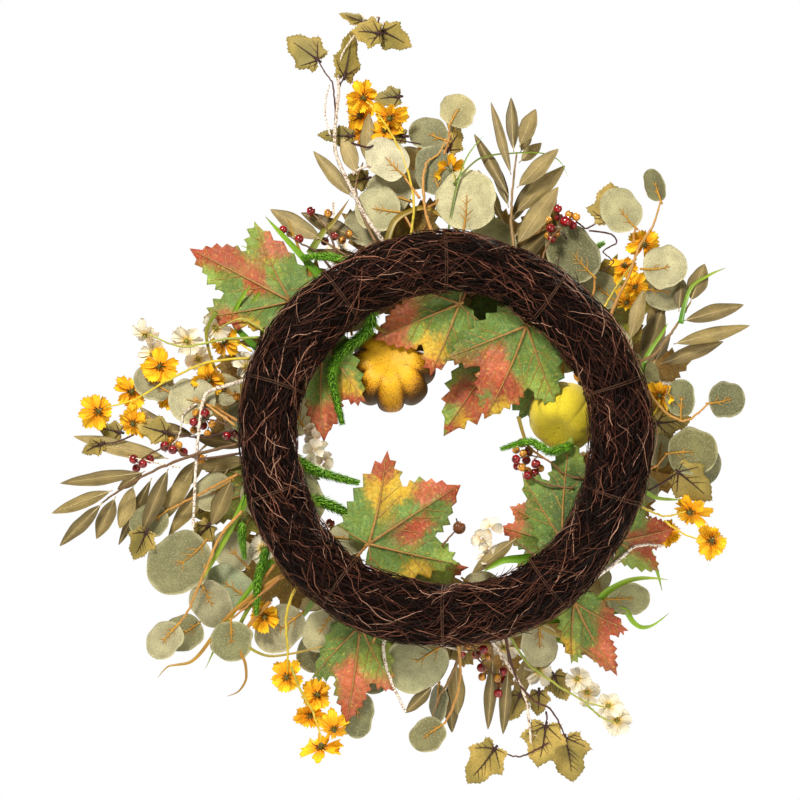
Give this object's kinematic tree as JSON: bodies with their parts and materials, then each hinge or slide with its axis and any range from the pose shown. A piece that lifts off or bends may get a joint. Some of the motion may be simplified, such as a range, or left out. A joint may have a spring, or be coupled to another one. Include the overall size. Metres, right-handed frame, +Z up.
{
  "type": "door wreath",
  "caption": "Round vine-ring door wreath dressed with autumn maple, eucalyptus, olive and ivy sprays, small orange and white flowers, berries and two gourds.",
  "frame": {"origin": "the seat of the door hook: the point at the inner top of the vine ring, midway through its thickness, where the ring's weight rests on the hook", "axes": "+Z up, +Y away from the door towards the dressed front, +X to the right for someone looking at the back of the wreath"},
  "size_m": [0.6047, 0.1354, 0.6704],
  "materials": {
    "vine_bark": "dark twisted vine twigs with bark, matt",
    "binding_wire": "thin brown-coated binding wire",
    "pumpkin_shell": "painted foam, golden yellow with brown speckles",
    "gourd_shell": "flocked green-yellow skin",
    "gourd_stalk": "moulded dry brown stalk",
    "maple_leaf": "printed polyester leaf, green through yellow to red, fine veins",
    "maple_leaf_green": "printed polyester leaf, green turning yellow",
    "maple_leaf_gold": "printed polyester leaf, gold with red edges",
    "maple_leaf_red": "printed polyester leaf, red and orange",
    "leaf_stalk": "moulded leaf stalk over wire",
    "eucalyptus_leaf": "grey-green moulded leaf with fine speckles",
    "eucalyptus_stem": "tan-orange moulded stem over wire",
    "olive_leaf": "printed narrow leaf, brownish olive with a pale midrib",
    "olive_stem": "brown stem over wire",
    "ivy_leaf": "printed yellow-olive leaf with dark brown veins",
    "ivy_vine": "dark brown vine over wire",
    "orange_petal": "orange-yellow cloth petals on a dark olive calyx",
    "flower_stem": "yellow-green moulded flower stem",
    "white_petal": "off-white cloth petals with a yellow base",
    "cream_petal": "cream cloth petals",
    "bud": "brown-orange ribbed bud",
    "red_berry": "glossy deep red berry",
    "amber_berry": "glossy amber berry",
    "berry_stem": "brown berry stem over wire",
    "green_blade": "bright green grass blade",
    "autumn_blade": "orange-brown grass blade",
    "fuzzy_pick": "bright green pick covered in short hairs",
    "birch_bark": "white twig with brown speckles"
  },
  "bodies": {
    "root": {"vine_ring": "vine_bark", "binding_wires": "binding_wire", "golden_pumpkin": "pumpkin_shell", "pumpkin_stalk": "gourd_stalk", "green_gourd": "gourd_shell", "gourd_stalk": "gourd_stalk", "maple_upper_left": "maple_leaf", "maple_inner_left": "maple_leaf", "maple_inner_top_left": "maple_leaf", "maple_inner_top_right": "maple_leaf", "maple_inner_top_rear": "maple_leaf", "maple_inner_bottom_left": "maple_leaf", "maple_inner_bottom_rear": "maple_leaf", "maple_inner_bottom_right": "maple_leaf", "maple_lower_left": "maple_leaf", "maple_lower_right": "maple_leaf", "maple_right": "maple_leaf", "maple_front_green": "maple_leaf_green", "maple_front_gold": "maple_leaf_gold", "maple_front_red": "maple_leaf_red", "maple_stalks": "leaf_stalk", "eucalyptus_top": "eucalyptus_leaf", "eucalyptus_right_upper": "eucalyptus_leaf", "eucalyptus_right_lower": "eucalyptus_leaf", "eucalyptus_bottom": "eucalyptus_leaf", "eucalyptus_lower_left": "eucalyptus_leaf", "eucalyptus_left": "eucalyptus_leaf", "eucalyptus_front": "eucalyptus_leaf", "eucalyptus_stems": "eucalyptus_stem", "olive_top_left": "olive_leaf", "olive_top": "olive_leaf", "olive_right": "olive_leaf", "olive_left": "olive_leaf", "olive_bottom": "olive_leaf", "olive_front": "olive_leaf", "olive_stems": "olive_stem", "ivy_top": "ivy_leaf", "ivy_right": "ivy_leaf", "ivy_bottom": "ivy_leaf", "ivy_left": "ivy_leaf", "ivy_front": "ivy_leaf", "ivy_vines": "ivy_vine", "orange_flowers_back": "orange_petal", "orange_flowers_front": "orange_petal", "orange_flower_stems": "flower_stem", "white_flowers_back": "white_petal", "white_flowers_front": "white_petal", "white_flower_stems": "flower_stem", "cream_petals": "cream_petal", "orange_buds": "bud", "red_berries": "red_berry", "amber_berries": "amber_berry", "berry_stems": "berry_stem", "green_blades": "green_blade", "autumn_blades": "autumn_blade", "fuzzy_picks": "fuzzy_pick", "birch_twigs": "birch_bark"}
  },
  "joints": []
}
